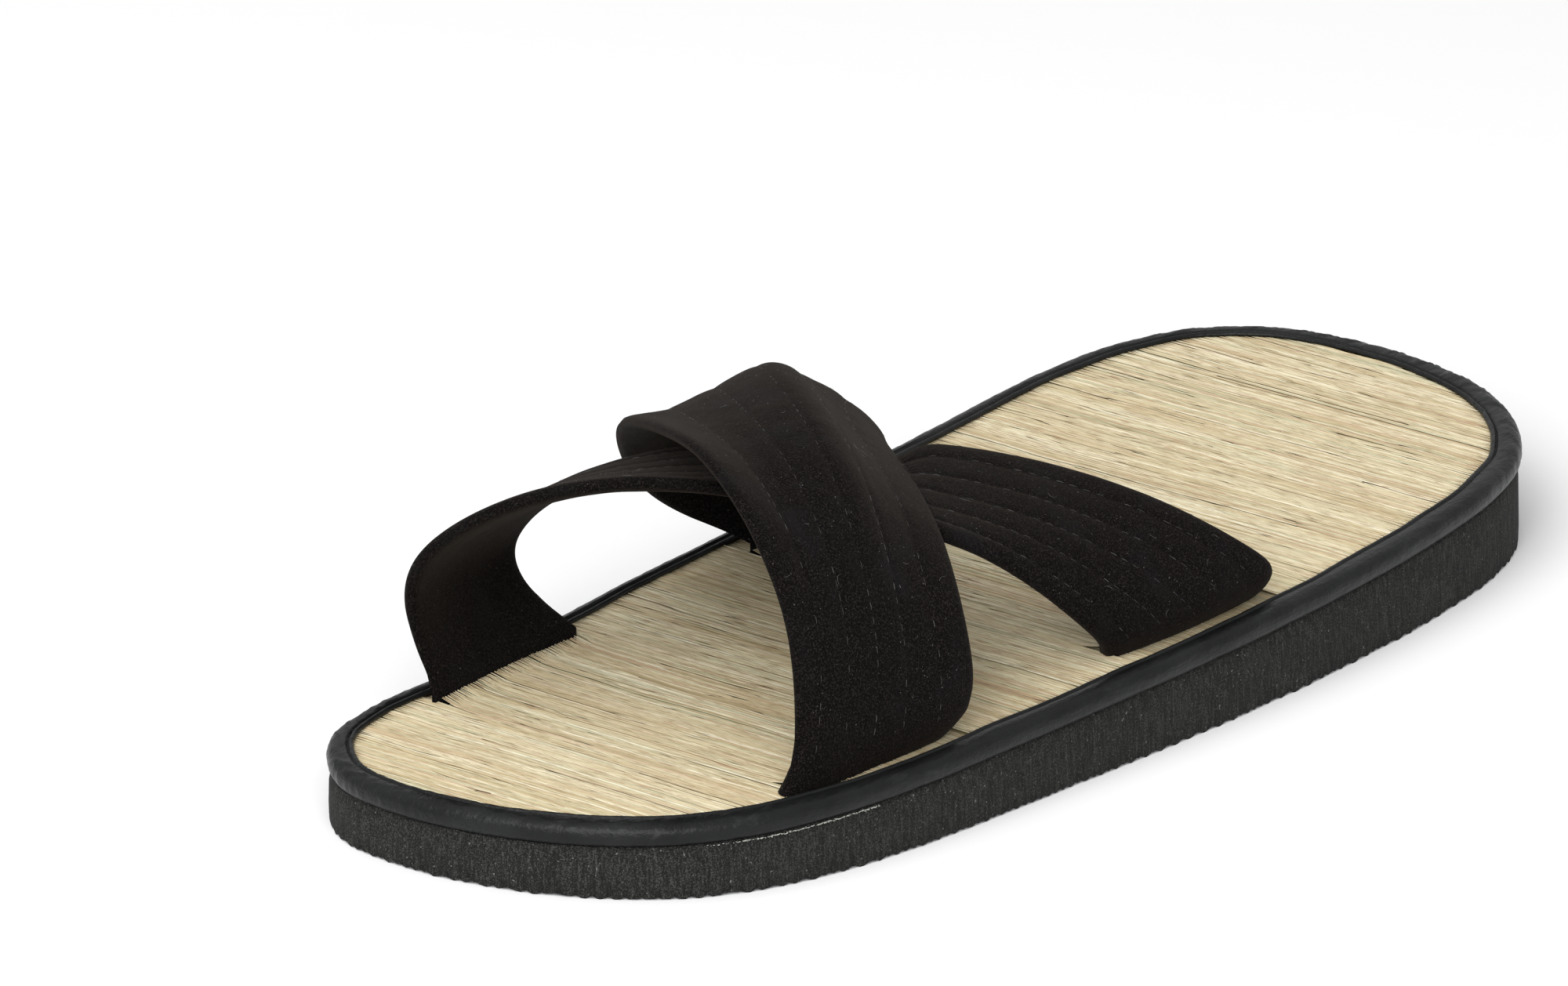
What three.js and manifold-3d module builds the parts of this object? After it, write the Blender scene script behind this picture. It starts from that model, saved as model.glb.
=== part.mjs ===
// Zori sandal, left foot: flat layered sole, straw mat with a bound rim, two crossed straps.
// Millimetres. X is the wearer's right, Y points to the toe, Z is up, the sole stands on z = 0.
import * as THREE from 'three';
import { mergeVertices } from 'three/addons/utils/BufferGeometryUtils.js';
import Module from 'manifold-3d';

// Outline of the foam slab seen from above, clockwise from the toe
const OUTLINE = [
  [12.9, 141.5], [29.7, 138.6], [42, 127], [45.4, 110.4], [45, 93.2], [45.4, 76.1], [46.8, 59],
  [48.2, 41.8], [49.1, 24.6], [49.8, 7.4], [50.5, -9.8], [51.4, -27], [52.5, -44.1], [53.8, -61.3],
  [55.1, -78.4], [55.6, -95.6], [53.5, -112.7], [46.7, -128.3], [33.1, -138.5], [16.2, -141.4],
  [-0.9, -140.3], [-17.3, -135.4], [-31.4, -125.6], [-42.1, -112.3], [-48.2, -96.2], [-51.5, -79.3],
  [-53.6, -62.2], [-54.8, -45.1], [-55.45, -27.9], [-55.6, -10.7], [-55.2, 6.5], [-54.5, 23.7],
  [-53.7, 40.8], [-52.7, 58], [-51.4, 75.1], [-48.6, 92.1], [-43.4, 108.5], [-33.9, 122.7],
  [-20.1, 132.9], [-4.1, 139.1],
];
const OUTLINE_STEPS = 120;

// Foam slab: flat below, its top rises from toe to heel
const FOAM_MID_HEIGHT = 12.8;
const FOAM_RISE = 3.44 / 140;
const FOAM_TOP_INSET = 0.5;

// Heights above the foam
const GAP = 0.3;
const MAT_RIM_TOP = 2.7;
const MAT_TOP = 3.5;
const BINDING_TOP = 4.3;
const BINDING_BULGE = 0.4;
const BINDING_INNER_EDGE = 4.4;
const BINDING_UNDER = 3.6;
const BINDING_WALL = 1.4;

// Straps: padded bands, half thickness in the band and where they pass the mat
const STRAP_HALF = 1.5;
const STRAP_END_HALF = 1.1;
const SLOT_CLEARANCE = 0.35;
const STRAP_STEPS = 46;
const CROSSING_OVERLAP = 0.25;

// Middle surfaces of the two straps, lines of control points from the front edge to the rear
// edge, with heights above the straw. The over strap runs from the outer front slot to the
// inner rear slot, and bulges where it crosses the other one.
const OVER = [
  [[-38.3, 94.8, 0], [-39.8, 94.2, 22.9], [-33.2, 95.7, 44], [-13.5, 90.3, 56.7], [9.1, 77.2, 51.9],
    [36.1, 55.8, 40.7], [50.5, 38.5, 25.2], [55, 25.4, 11.1], [49.1, 15.6, 4.3], [40.5, 12.4, 0]],
  [[-39.8, 95.5, 0], [-42, 90.8, 18.9], [-36.8, 89.4, 37.8], [-18.6, 82.5, 49.7], [3.2, 68.8, 47],
    [30.8, 47.8, 39.4], [46.7, 30.1, 29], [53.4, 16.3, 15.8], [47.9, 7.5, 6.4], [40.2, 4.8, 0]],
  [[-40.2, 86.7, 0], [-44, 84.2, 15.5], [-39.8, 82.7, 34.4], [-23.3, 74.5, 49], [-2.2, 59.9, 50.6],
    [24.9, 38.2, 44.3], [41, 20.4, 32.5], [49.1, 6.8, 18.5], [45.5, -1.1, 7.5], [39.4, -3.7, 0]],
  [[-40.9, 75.8, 0], [-46.1, 75.9, 12.1], [-42.6, 75.3, 30.8], [-27.6, 66.5, 47.3], [-6.8, 51.7, 52.7],
    [20.2, 29.6, 48.9], [35.6, 11.2, 35.3], [44.4, -2.9, 20.9], [42.7, -10, 8.4], [38.3, -12.7, 0]],
  [[-41.8, 65.8, 0], [-48.1, 67.3, 8.1], [-45.5, 67.7, 24.5], [-31.8, 59, 37.9], [-11.7, 44.4, 39.3],
    [14.7, 22.3, 35.4], [29.5, 2, 30.9], [39.6, -12.7, 23.1], [40, -18.6, 10.2], [37.2, -21.3, 0]],
  [[-41.5, 57.3, 0], [-49.9, 58.9, 6], [-48.5, 60.2, 21.1], [-35.9, 51.9, 33.9], [-16.8, 36.6, 34.7],
    [8.4, 13.6, 28.5], [24.7, -5.4, 20.9], [36.2, -19.8, 12.7], [37.7, -26.2, 3.8], [36.1, -29.2, 0]],
];
const UNDER = [
  [[38.4, 102.2, 0], [44, 105.2, 15.9], [40.4, 109.4, 29.4], [21.4, 102.4, 42.5], [3.7, 86.7, 46.8],
    [-21.4, 62.9, 38.7], [-35.1, 41.9, 29.3], [-43.8, 26.1, 13.6], [-45.4, 15.6, 3.3], [-42, 11.4, 0]],
  [[39.3, 80.4, 0], [51.7, 87.7, 11], [47.4, 89.5, 24.1], [28.9, 81.2, 36], [6.6, 64, 37.9],
    [-21.4, 39.7, 32.3], [-38.4, 20.1, 22.4], [-49.5, 4.8, 10], [-50.6, -4.7, 2.8], [-44.8, -7.5, 0]],
  [[38.7, 63.9, 0], [51.6, 70.1, 9.1], [52, 68.9, 21.1], [37.4, 57.8, 31.8], [15.4, 38.3, 36.1],
    [-14.1, 13.3, 33.3], [-35.2, -6.4, 23.6], [-49.8, -20.5, 11.5], [-50.8, -28.6, 4.7], [-43.4, -29.4, 0]],
];
const END_RISE = 1.5;

const wasm = await Module();
wasm.setup();

const foamTop = (y) => FOAM_MID_HEIGHT - FOAM_RISE * y;

// The outline as evenly spaced points, then moved inward by a distance
const outlinePoints = (() => {
  const knots = OUTLINE.map(([x, y]) => new THREE.Vector3(x, y, 0));
  const curve = new THREE.CatmullRomCurve3(knots, true, 'centripetal');
  curve.arcLengthDivisions = 1200;
  return curve.getSpacedPoints(OUTLINE_STEPS).slice(0, OUTLINE_STEPS);
})();

function inset(distance) {
  const count = outlinePoints.length;
  return outlinePoints.map((point, i) => {
    const along = outlinePoints[(i + 1) % count].clone().sub(outlinePoints[(i + count - 1) % count]);
    const inward = new THREE.Vector3(along.y, -along.x, 0).normalize();
    return point.clone().addScaledVector(inward, distance);
  });
}

// A ring of the outline at one inset, its height measured from the floor or from the foam top
const ring = (distance, heightAt) => inset(distance).map((p) => new THREE.Vector3(p.x, p.y, heightAt(p.y)));
const aboveFoam = (height) => (y) => foamTop(y) + height;

// Skin closed rings into one solid. A closed loft joins the last ring to the first one,
// an open loft gets a flat cap at each end.
function skin(rings, closed) {
  const count = rings[0].length;
  const positions = [];
  const indices = [];
  for (const points of rings) for (const p of points) positions.push(p.x, p.y, p.z);
  const links = closed ? rings.length : rings.length - 1;
  for (let r = 0; r < links; r++) {
    const a = r * count;
    const b = ((r + 1) % rings.length) * count;
    for (let i = 0; i < count; i++) {
      const j = (i + 1) % count;
      indices.push(a + i, b + j, a + j, a + i, b + i, b + j);
    }
  }
  if (!closed) {
    const last = (rings.length - 1) * count;
    for (let i = 1, j = count - 1; i < j; i++, j--) {
      const first = i === 1 ? 0 : i - 1;
      const previous = i === 1 ? 0 : j + 1;
      indices.push(first, i, j);
      indices.push(last + first, last + j, last + i);
      if (previous !== first) {
        indices.push(first, j, previous);
        indices.push(last + first, last + previous, last + j);
      }
    }
    if (count % 2 === 0) {
      const m = count / 2;
      indices.push(m - 1, m, m + 1, last + m - 1, last + m + 1, last + m);
    }
  }
  const geometry = new THREE.BufferGeometry();
  geometry.setAttribute('position', new THREE.Float32BufferAttribute(positions, 3));
  geometry.setIndex(indices);
  return outward(geometry);
}

// Turn a closed geometry so that its faces point out
function outward(geometry) {
  const p = geometry.getAttribute('position');
  const index = geometry.getIndex().array;
  let volume = 0;
  const [a, b, c] = [new THREE.Vector3(), new THREE.Vector3(), new THREE.Vector3()];
  for (let i = 0; i < index.length; i += 3) {
    a.fromBufferAttribute(p, index[i]);
    b.fromBufferAttribute(p, index[i + 1]);
    c.fromBufferAttribute(p, index[i + 2]);
    volume += a.dot(b.cross(c));
  }
  if (volume < 0) for (let i = 0; i < index.length; i += 3) [index[i], index[i + 1]] = [index[i + 1], index[i]];
  return geometry;
}

function toSolid(geometry) {
  const bare = geometry.clone();
  bare.deleteAttribute('normal');
  bare.deleteAttribute('uv');
  const merged = mergeVertices(bare, 1e-4);
  return new wasm.Manifold(new wasm.Mesh({
    numProp: 3,
    vertProperties: new Float32Array(merged.getAttribute('position').array),
    triVerts: new Uint32Array(merged.getIndex().array),
  }));
}

function fromSolid(solid) {
  const mesh = solid.getMesh();
  const geometry = new THREE.BufferGeometry();
  geometry.setAttribute('position', new THREE.Float32BufferAttribute(mesh.vertProperties, 3));
  geometry.setIndex(Array.from(mesh.triVerts));
  return geometry;
}

// A clamped even spline through its end control points
function splinePoint(controls, degree, t) {
  const last = controls.length - 1;
  const spans = controls.length - degree;
  const knot = (i) => Math.min(Math.max((i - degree) / spans, 0), 1);
  const at = Math.min(Math.max(t, 0), 1);
  const span = Math.min(degree + Math.floor(at * spans), last);
  const d = [];
  for (let j = 0; j <= degree; j++) d.push(controls[span - degree + j].clone());
  for (let r = 1; r <= degree; r++) {
    for (let j = degree; j >= r; j--) {
      const low = knot(span - degree + j);
      const high = knot(span + 1 + j - r);
      d[j] = d[j - 1].clone().lerp(d[j], (at - low) / (high - low));
    }
  }
  return d[degree];
}

// Middle surface of a strap as rows of points from its front edge to its rear edge
const ACROSS = [0, 0.015, 0.05, 0.14, 0.26, 0.38, 0.5, 0.62, 0.74, 0.86, 0.95, 0.985, 1];
const ROUNDED = [0, 0.55, 0.88, 1, 1, 1, 1, 1, 1, 1, 0.88, 0.55, 0];

function strapRows(net) {
  const lines = net.map((line) => line.map((p) => new THREE.Vector3(...p)));
  const rows = [];
  for (let i = 0; i <= STRAP_STEPS; i++) {
    const section = lines.map((line) => splinePoint(line, 3, i / STRAP_STEPS));
    rows.push(ACROSS.map((w) => {
      const p = splinePoint(section, 2, w);
      p.z += foamTop(p.y) + MAT_TOP + END_RISE * Math.exp(-((p.z / 5) ** 2));
      return p;
    }));
  }
  return rows;
}

// Height of a strap's middle surface above a plan point, or nothing beside the strap
function heightAbove(rows, x, y) {
  for (let i = 8; i < rows.length - 9; i++) {
    for (let j = 0; j < ACROSS.length - 1; j++) {
      const quad = [rows[i][j], rows[i][j + 1], rows[i + 1][j + 1], rows[i + 1][j]];
      for (const [a, b, c] of [[quad[0], quad[1], quad[2]], [quad[0], quad[2], quad[3]]]) {
        const area = (b.x - a.x) * (c.y - a.y) - (c.x - a.x) * (b.y - a.y);
        if (Math.abs(area) < 1e-9) continue;
        const v = ((x - a.x) * (c.y - a.y) - (c.x - a.x) * (y - a.y)) / area;
        const w = ((b.x - a.x) * (y - a.y) - (x - a.x) * (b.y - a.y)) / area;
        if (v >= 0 && w >= 0 && v + w <= 1) return a.z + v * (b.z - a.z) + w * (c.z - a.z);
      }
    }
  }
  return null;
}

// Give the rows thickness and carry both ends straight down through the mat
function strapSolid(rows) {
  const down = (row) => row.map((p) => new THREE.Vector3(p.x, p.y, foamTop(p.y) + GAP));
  const all = [down(rows[0]), ...rows, down(rows[rows.length - 1])];
  const rings = all.map((row, i) => {
    const before = all[Math.max(i - 1, 0)];
    const after = all[Math.min(i + 1, all.length - 1)];
    const nearEnd = Math.min(i - 1, all.length - 2 - i);
    const half = nearEnd <= 0 ? STRAP_END_HALF : Math.min(STRAP_END_HALF + 0.1 * nearEnd, STRAP_HALF);
    const over = [];
    const under = [];
    row.forEach((p, j) => {
      const along = after[j].clone().sub(before[j]);
      if (nearEnd <= 0) along.set(0, 0, i < all.length / 2 ? 1 : -1);
      const across = row[Math.min(j + 1, row.length - 1)].clone().sub(row[Math.max(j - 1, 0)]);
      const normal = along.cross(across).normalize();
      over.push(p.clone().addScaledVector(normal, half * ROUNDED[j]));
      if (j > 0 && j < row.length - 1) under.push(p.clone().addScaledVector(normal, -half * ROUNDED[j]));
    });
    return [...over, ...under.reverse()];
  });
  return skin(rings, false);
}

// The slot that a strap end passes: its curved base line grown by the clearance all round
function slotCutter(row) {
  const last = row.length - 1;
  const near = [];
  const far = [];
  row.forEach((p, i) => {
    const along = row[Math.min(i + 1, last)].clone().sub(row[Math.max(i - 1, 0)]).setZ(0).normalize();
    const side = new THREE.Vector3(-along.y, along.x, 0).multiplyScalar(STRAP_END_HALF + SLOT_CLEARANCE);
    const reach = i === 0 ? -1 : i === last ? 1 : 0;
    const middle = p.clone().addScaledVector(along, reach * (SLOT_CLEARANCE + 0.3));
    near.push(middle.clone().add(side));
    far.push(middle.clone().sub(side));
  });
  const loop = [...near, ...far.reverse()];
  return skin([0, 40].map((z) => loop.map((p) => new THREE.Vector3(p.x, p.y, z))), false);
}

function named(name, geometry, colour, roughness) {
  const flat = geometry.toNonIndexed();
  flat.computeVertexNormals();
  const mesh = new THREE.Mesh(flat, new THREE.MeshStandardMaterial({ color: colour, roughness, metalness: 0 }));
  mesh.name = name;
  return mesh;
}

// Foam slab
const soleGeometry = skin([
  ring(0.35, () => 0),
  ring(0, () => 0.5),
  ring(0.1, (y) => foamTop(y) * 0.5),
  ring(FOAM_TOP_INSET, (y) => foamTop(y) - 0.4),
  ring(FOAM_TOP_INSET + 0.4, foamTop),
], false);

// Straw mat: a thick middle and a thin rim that the binding holds
const matGeometry = skin([
  ring(BINDING_UNDER + GAP, aboveFoam(GAP)),
  ring(BINDING_UNDER + GAP, aboveFoam(1.4)),
  ring(BINDING_WALL + GAP, aboveFoam(1.4)),
  ring(BINDING_WALL + GAP, aboveFoam(MAT_RIM_TOP)),
  ring(BINDING_INNER_EDGE + GAP, aboveFoam(MAT_RIM_TOP)),
  ring(BINDING_INNER_EDGE + GAP, aboveFoam(MAT_TOP)),
], false);

// Binding: one strip folded round the rim of the mat
const bindingGeometry = skin([
  ring(BINDING_UNDER, aboveFoam(GAP)),
  ring(0.9, aboveFoam(GAP)),
  ring(0, aboveFoam(0.6)),
  ring(-BINDING_BULGE, aboveFoam(1.5)),
  ring(-BINDING_BULGE, aboveFoam(2.7)),
  ring(0, aboveFoam(3.6)),
  ring(1, aboveFoam(4.15)),
  ring(2.2, aboveFoam(BINDING_TOP)),
  ring(BINDING_INNER_EDGE - 0.4, aboveFoam(BINDING_TOP - 0.1)),
  ring(BINDING_INNER_EDGE, aboveFoam(BINDING_TOP - 0.35)),
  ring(BINDING_INNER_EDGE, aboveFoam(MAT_RIM_TOP + 0.4)),
  ring(BINDING_WALL, aboveFoam(MAT_RIM_TOP + 0.3)),
  ring(BINDING_WALL, aboveFoam(1.1)),
  ring(BINDING_UNDER, aboveFoam(1.1)),
], true);

// Straps: the under strap is pressed down where the over strap lies on it
const overRows = strapRows(OVER);
const underRows = strapRows(UNDER);
const press = underRows.map((row, i) => row.map((p) => {
  const above = i < 8 || i > STRAP_STEPS - 8 ? null : heightAbove(overRows, p.x, p.y);
  return above === null ? 0 : Math.max(0, p.z - above + 2 * STRAP_HALF - CROSSING_OVERLAP);
}));
for (let pass = 0; pass < 40; pass++) {
  for (let i = 6; i < press.length - 6; i++) {
    for (let j = 0; j < ACROSS.length; j++) {
      const sides = press[i][Math.max(j - 1, 0)] + press[i][Math.min(j + 1, ACROSS.length - 1)];
      press[i][j] = Math.max(press[i][j], (press[i - 1][j] + press[i + 1][j] + sides) / 4);
    }
  }
}
underRows.forEach((row, i) => row.forEach((p, j) => { p.z -= press[i][j]; }));
const upperSolid = toSolid(strapSolid(overRows)).add(toSolid(strapSolid(underRows)));

let matSolid = toSolid(matGeometry);
for (const rows of [overRows, underRows]) {
  for (const row of [rows[0], rows[rows.length - 1]]) matSolid = matSolid.subtract(toSolid(slotCutter(row)));
}

const sandal = new THREE.Group();
sandal.name = 'zori_sandal';
sandal.add(named('sole', soleGeometry, 0x2c2e2f, 0.9));
sandal.add(named('insole', fromSolid(matSolid), 0xcdbb8b, 0.85));
sandal.add(named('binding', bindingGeometry, 0x17181a, 0.45));
sandal.add(named('upper', fromSolid(upperSolid), 0x0c0b0b, 0.95));

export default sandal;
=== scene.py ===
import math

import bmesh
import bpy
import numpy as np
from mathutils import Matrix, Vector, noise
from mathutils.bvhtree import BVHTree


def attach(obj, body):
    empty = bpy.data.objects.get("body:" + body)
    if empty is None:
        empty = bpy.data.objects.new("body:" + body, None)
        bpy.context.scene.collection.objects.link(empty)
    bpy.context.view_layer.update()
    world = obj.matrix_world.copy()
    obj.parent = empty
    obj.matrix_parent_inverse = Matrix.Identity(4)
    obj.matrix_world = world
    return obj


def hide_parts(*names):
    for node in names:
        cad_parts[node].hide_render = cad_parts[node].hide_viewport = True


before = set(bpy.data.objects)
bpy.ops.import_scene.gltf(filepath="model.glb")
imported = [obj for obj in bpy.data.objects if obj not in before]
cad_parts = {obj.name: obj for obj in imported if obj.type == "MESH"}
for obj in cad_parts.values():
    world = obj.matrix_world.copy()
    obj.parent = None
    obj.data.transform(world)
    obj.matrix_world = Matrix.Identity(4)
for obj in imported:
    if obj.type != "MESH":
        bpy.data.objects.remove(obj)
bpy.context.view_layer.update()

mm = 0.001
chance = np.random.default_rng(1205)


# camera, floor and light: the view in millimetres and degrees, the studio in metres

view = {"azimuth": 219.81, "elevation": 20.238, "distance": 2500.0, "across": -31.679, "above": 30.507,
        "centreX": 2.556, "centreY": -0.984, "focal": 312.75}
studio = {"floorGrey": 0.92, "floorHalf": 6, "worldStrength": 0.62, "lookAt": (0, 0, 0.02),
          "lights": {"keyLight": {"place": (-0.3, 1.6, 1.25), "size": 1.4, "power": 21.0},
                     "fillLight": {"place": (-1.1, 1.3, 0.85), "size": 1.3, "power": 19.0},
                     "topLight": {"place": (0.3, 0.7, 2.0), "size": 1.8, "power": 8.0}}}


def makeCamera():
    a, e = math.radians(view["azimuth"]), math.radians(view["elevation"])
    back = Vector((math.sin(a) * math.cos(e), -math.cos(a) * math.cos(e), math.sin(e)))
    right = Vector((math.cos(a), math.sin(a), 0))
    up = back.cross(right)
    spot = back * view["distance"] + right * view["across"] + up * view["above"]
    spot += Vector((view["centreX"], view["centreY"], 0))
    cameraData = bpy.data.cameras.new("camera")
    cameraData.lens = view["focal"]
    cameraData.sensor_width = 36
    cameraData.clip_start = 0.1
    cameraData.clip_end = 20
    camera = bpy.data.objects.new("camera", cameraData)
    camera.location = spot * mm
    camera.rotation_mode = "QUATERNION"
    camera.rotation_quaternion = (-back).to_track_quat("-Z", "Y")
    bpy.context.collection.objects.link(camera)
    bpy.context.scene.camera = camera


def areaLight(name, place, size, power):
    lightData = bpy.data.lights.new(name, "AREA")
    lightData.shape = "DISK"
    lightData.size = size
    lightData.energy = power
    light = bpy.data.objects.new(name, lightData)
    light.location = place
    light.rotation_mode = "QUATERNION"
    light.rotation_quaternion = (Vector(place) - Vector(studio["lookAt"])).to_track_quat("Z", "Y")
    bpy.context.collection.objects.link(light)


def makeStudio():
    for name, light in studio["lights"].items():
        areaLight(name, **light)
    world = bpy.data.worlds.new("studioWorld")
    world.use_nodes = True
    sky = world.node_tree.nodes["Background"].inputs
    sky["Color"].default_value = (1, 1, 1, 1)
    sky["Strength"].default_value = studio["worldStrength"]
    bpy.context.scene.world = world
    bpy.context.scene.view_settings.view_transform = "Standard"
    floorMesh = bpy.data.meshes.new("floor")
    reach = studio["floorHalf"]
    corners = [(-reach, -reach, 0), (reach, -reach, 0), (reach, reach, 0), (-reach, reach, 0)]
    floorMesh.from_pydata(corners, [], [(0, 1, 2, 3)])
    floor = bpy.data.objects.new("floor", floorMesh)
    bpy.context.collection.objects.link(floor)
    paper = bpy.data.materials.new("paleFloor")
    paper.use_nodes = True
    skin = paper.node_tree.nodes["Principled BSDF"]
    skin.inputs["Base Color"].default_value = (studio["floorGrey"],) * 3 + (1,)
    skin.inputs["Roughness"].default_value = 0.9
    skin.inputs["Specular IOR Level"].default_value = 0.1
    floorMesh.materials.append(paper)


# small helpers for meshes and shader nodes

def makePiece(name, points, faces, material, smooth=True, tones=None):
    mesh = bpy.data.meshes.new(name)
    mesh.from_pydata((np.asarray(points) * mm).tolist(), [], faces)
    for key, values in (tones or {}).items():
        mesh.attributes.new(key, "FLOAT", "POINT").data.foreach_set("value", np.asarray(values, np.float32))
    mesh.materials.append(material)
    mesh.update()
    if smooth:
        mesh.shade_smooth()
    piece = bpy.data.objects.new(name, mesh)
    bpy.context.collection.objects.link(piece)
    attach(piece, "root")
    return piece


def ringFaces(rings, count, closeRings):
    faces = []
    for r in range(rings if closeRings else rings - 1):
        a, b = r * count, ((r + 1) % rings) * count
        for i in range(count):
            j = (i + 1) % count
            faces.append((a + i, a + j, b + j, b + i))
    return faces


def cappedFaces(rings, count):
    last = (rings - 1) * count
    return ringFaces(rings, count, False) + [tuple(range(count)), tuple(range(last, last + count))]


def addTube(faces, base, rings, sides):
    # the faces of a short closed tube whose points start at base
    faces += [tuple(base + v for v in face) for face in ringFaces(rings, sides, False)]
    last = base + (rings - 1) * sides
    faces += [tuple(base + v for v in reversed(range(sides))), tuple(last + v for v in range(sides))]


def faceOutward(piece, weld=0.0):
    # weld joins points that are closer than this, in metres
    work = bmesh.new()
    work.from_mesh(piece.data)
    if weld:
        bmesh.ops.remove_doubles(work, verts=work.verts, dist=weld)
    bmesh.ops.recalc_face_normals(work, faces=work.faces)
    work.to_mesh(piece.data)
    work.free()


def makeCutter(name, points, faces):
    mesh = bpy.data.meshes.new(name)
    mesh.from_pydata((np.asarray(points) * mm).tolist(), [], faces)
    cutter = bpy.data.objects.new(name, mesh)
    bpy.context.collection.objects.link(cutter)
    faceOutward(cutter)
    return cutter


def cutPiece(piece, cutter, operation):
    # the result becomes the piece's mesh, and the cutter is thrown away
    cut = piece.modifiers.new("cut", "BOOLEAN")
    cut.operation, cut.solver, cut.object = operation, "EXACT", cutter
    bpy.context.view_layer.update()
    evaluated = piece.evaluated_get(bpy.context.evaluated_depsgraph_get())
    shaped = bpy.data.meshes.new_from_object(evaluated)
    piece.modifiers.clear()
    piece.data = shaped
    bpy.data.objects.remove(cutter)


class Shader:
    def __init__(self, name):
        self.material = bpy.data.materials.new(name)
        self.material.use_nodes = True
        self.tree = self.material.node_tree
        self.skin = self.tree.nodes["Principled BSDF"]
        self.column = 0

    def node(self, kind, inputs=None, **settings):
        made = self.tree.nodes.new(kind)
        self.column += 1
        made.location = (-260 * (self.column % 9) - 300, -220 * (self.column // 9))
        for key, value in settings.items():
            setattr(made, key, value)
        for key, value in (inputs or {}).items():  # an input may be named or counted
            if isinstance(value, bpy.types.NodeSocket):
                self.tree.links.new(value, made.inputs[key])
            else:
                made.inputs[key].default_value = value
        return made

    def link(self, output, key):
        self.tree.links.new(output, self.skin.inputs[key])

    def fix(self, **values):
        for key, value in values.items():
            self.skin.inputs[key.replace("_", " ")].default_value = value

    def place(self, scale=(1, 1, 1), rotation=(0, 0, 0)):
        spot = self.node("ShaderNodeTexCoord").outputs["Object"]
        made = self.node("ShaderNodeMapping", {"Vector": spot, "Scale": scale, "Rotation": rotation})
        return made.outputs["Vector"]

    def speckle(self, where, scale, detail=3.0, roughness=0.55, distortion=0.0):
        made = self.node("ShaderNodeTexNoise", {"Vector": where, "Scale": scale, "Detail": detail,
                                                "Roughness": roughness, "Distortion": distortion})
        return made.outputs["Fac"]

    def ramp(self, value, stops):
        made = self.node("ShaderNodeValToRGB", {"Fac": value})
        band = made.color_ramp
        while len(band.elements) < len(stops):
            band.elements.new(0.5)
        for element, (position, colour) in zip(band.elements, stops):
            element.position = position
            element.color = (*colour, 1)
        return made.outputs["Color"]

    def mix(self, share, first, colour):
        # the mix node's inputs 0, 6 and 7 are the share and its two colours, and output 2 is the result
        inputs = {0: share, 6: first, 7: (*colour, 1)}
        return self.node("ShaderNodeMix", inputs, data_type="RGBA").outputs[2]

    def sums(self, operation, first, second):
        return self.node("ShaderNodeMath", {0: first, 1: second}, operation=operation).outputs[0]

    def grey(self, value, low, high):
        made = self.node("ShaderNodeMapRange", {"Value": value, "To Min": low, "To Max": high})
        return made.outputs["Result"]

    def attribute(self, name):
        return self.node("ShaderNodeAttribute", attribute_name=name).outputs["Fac"]

    def bump(self, height, distance, strength=1.0, under=None):
        inputs = {"Height": height, "Distance": distance, "Strength": strength}
        if under is not None:
            inputs["Normal"] = under
        return self.node("ShaderNodeBump", inputs).outputs["Normal"]


# the outline of the foam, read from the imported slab, and lines inside it

slabRing = {"height": 0.5, "within": 0.02, "smoothing": 6}  # points at this height give the outline
foamSlope = {"middle": 12.8, "fall": 3.44, "over": 140}  # the slab is thinner towards the toe


def lengthAlong(line):
    return np.concatenate([[0], np.cumsum(np.linalg.norm(np.diff(line, axis=0), axis=1))])


def readOutline(steps):
    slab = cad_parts["sole"].data
    points = np.array([v.co[:] for v in slab.vertices]) / mm
    atHeight = np.abs(points[:, 2] - slabRing["height"]) < slabRing["within"]
    ring = np.unique(np.round(points[atHeight][:, :2], 3), axis=0)
    ring = ring[np.argsort(-np.arctan2(ring[:, 1], ring[:, 0]))]
    # a smooth closed curve through the points, by its waves
    waves = np.fft.fft(ring[:, 0] + 1j * ring[:, 1])
    full, half = np.zeros(steps, complex), len(ring) // 2
    full[:half], full[-half + 1:] = waves[:half], waves[-half + 1:]
    curve = np.fft.ifft(full) * steps / len(ring)
    line = np.column_stack([curve.real, curve.imag])
    for _ in range(slabRing["smoothing"]):
        line = 0.5 * line + 0.25 * (np.roll(line, 1, 0) + np.roll(line, -1, 0))
    ahead = np.roll(line, -1, 0) - np.roll(line, 1, 0)
    ahead /= np.linalg.norm(ahead, axis=1)[:, None]
    return line, np.column_stack([ahead[:, 1], -ahead[:, 0]]), lengthAlong(line)


def foamTop(y):
    return foamSlope["middle"] - foamSlope["fall"] / foamSlope["over"] * np.asarray(y)


outlineSteps = 1080
outline, inward, aroundLength = readOutline(outlineSteps)


def insetLine(distance):
    return outline + inward * np.reshape(distance, (-1, 1))


def noiseAlong(points, scale, seed=0.0):
    return np.array([noise.noise((p[0] * scale + seed, p[1] * scale - seed, p[2] * scale)) for p in points])


# foam slab with its tread

foamSole = {"treadPitch": 2.9, "treadDepth": 0.62, "treadTurn": 41.0, "treadTip": 0.32, "treadReach": 160.0,
            "treadHalfWide": 64, "treadHalfLong": 150, "treadBelow": 2, "blockHeight": 26,
            "sawScale": 0.9, "sawWave": 0.10, "slowScale": 0.12, "slowWave": 0.22, "topInset": 0.5,
            "topRound": 0.4}


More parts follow.
